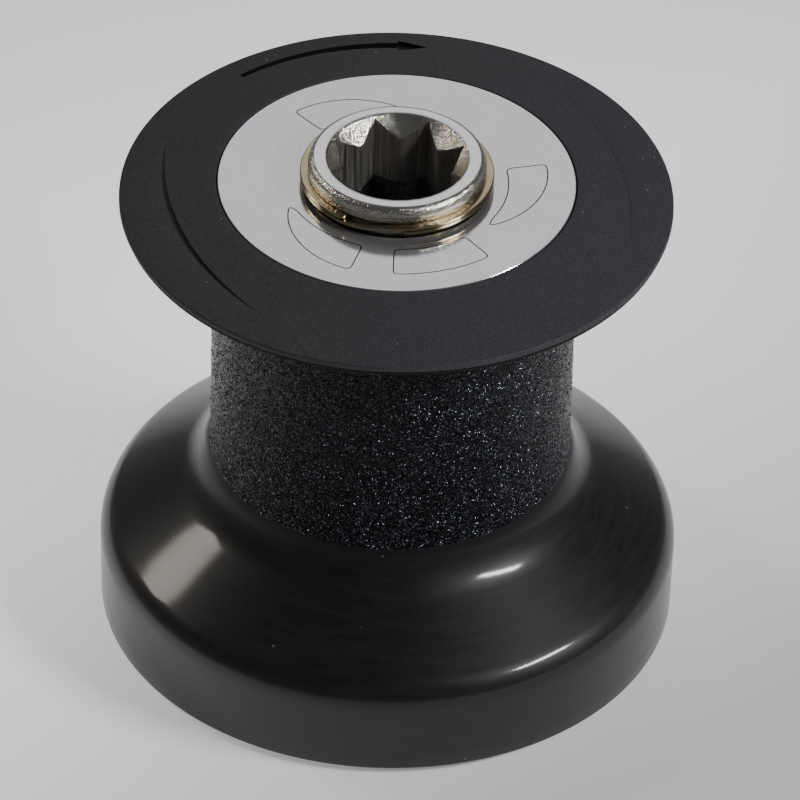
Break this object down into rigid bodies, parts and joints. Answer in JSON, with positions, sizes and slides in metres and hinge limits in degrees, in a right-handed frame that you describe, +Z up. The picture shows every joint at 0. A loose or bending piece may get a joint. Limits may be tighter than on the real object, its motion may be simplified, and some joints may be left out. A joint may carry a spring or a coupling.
{
  "type": "sailboat winch",
  "caption": "Drum winch for ropes on a sailing boat: a rough barrel with a wide skirt and top flange turns one way on a deck-mounted stem, driven through a star socket in its spindle.",
  "frame": {"origin": "on the deck plane, on the winch's axis", "axes": "+Z up along the axis, away from the deck; +X through a point of the star socket"},
  "size_m": [0.1048, 0.1048, 0.0994],
  "materials": {
    "drum_grip": "black anodised aluminium, satin, with a coarse grit on the barrel",
    "crown": "matt black with a fine grain",
    "disc": "satin polished, thin dark etched outlines",
    "bright_steel": "polished stainless steel",
    "ring_steel": "plain stainless spring steel",
    "base_alloy": "dark anodised aluminium",
    "bronze": "machined bronze",
    "acetal": "ivory bearing plastic",
    "dark_sleeve": "dark plastic sleeve",
    "rubber": "black rubber",
    "spring_steel": "bright spring wire"
  },
  "bodies": {
    "base": {"base_stem": "base_alloy", "spindle_upper_bush": "acetal", "spindle_lower_bush": "acetal", "lower_drum_bearing": "acetal", "bearing_spacer": "dark_sleeve", "upper_drum_bearing": "acetal", "drum_thrust_washer": "acetal", "reverse_pawl_spring_1": "spring_steel", "reverse_pawl_spring_2": "spring_steel"},
    "drum": {"drum": "drum_grip", "crown_ring": "crown", "top_disc": "disc", "spindle_seal": "rubber", "drive_ratchet_ring": "bronze", "drive_ring_pins": "spring_steel", "drive_ring_circlip": "spring_steel", "reverse_ratchet_ring": "bronze", "ratchet_ring_screws": "spring_steel"},
    "spindle": {"spindle": "bright_steel", "retaining_ring": "ring_steel", "spindle_thrust_washer": "acetal", "pawl_keeper_washer": "spring_steel", "bottom_thrust_washer": "acetal", "bottom_circlip": "spring_steel", "drive_pawl_spring_1": "spring_steel", "drive_pawl_spring_2": "spring_steel"},
    "drive_pawl_1": {"drive_pawl_1": "bronze"},
    "drive_pawl_2": {"drive_pawl_2": "bronze"},
    "reverse_pawl_1": {"reverse_pawl_1": "bronze"},
    "reverse_pawl_2": {"reverse_pawl_2": "bronze"}
  },
  "joints": [
    {"name": "drum_spin", "type": "hinge", "parent": "base", "child": "drum", "pos_m": [0, 0, 0], "axis": [0, 0, 1], "continuous": true},
    {"name": "spindle_spin", "type": "hinge", "parent": "base", "child": "spindle", "pos_m": [0, 0, 0], "axis": [0, 0, 1], "continuous": true},
    {"name": "drive_pawl_1_swing", "type": "hinge", "parent": "spindle", "child": "drive_pawl_1", "pos_m": [0.01589, 0.00658, 0.08102], "axis": [0, 0, -1], "range_deg": [0, 19.6], "stiffness_Nm_per_rad": 0.005, "springref_deg": -20.05},
    {"name": "drive_pawl_2_swing", "type": "hinge", "parent": "spindle", "child": "drive_pawl_2", "pos_m": [-0.01589, -0.00658, 0.08102], "axis": [0, 0, -1], "range_deg": [0, 19.6], "stiffness_Nm_per_rad": 0.005, "springref_deg": -20.05},
    {"name": "reverse_pawl_1_swing", "type": "hinge", "parent": "base", "child": "reverse_pawl_1", "pos_m": [0.0282, 0, 0.013], "axis": [0, 0, -1], "range_deg": [0, 17.9], "stiffness_Nm_per_rad": 0.005, "springref_deg": -20.05},
    {"name": "reverse_pawl_2_swing", "type": "hinge", "parent": "base", "child": "reverse_pawl_2", "pos_m": [-0.0282, 0, 0.013], "axis": [0, 0, -1], "range_deg": [0, 17.9], "stiffness_Nm_per_rad": 0.005, "springref_deg": -20.05}
  ]
}
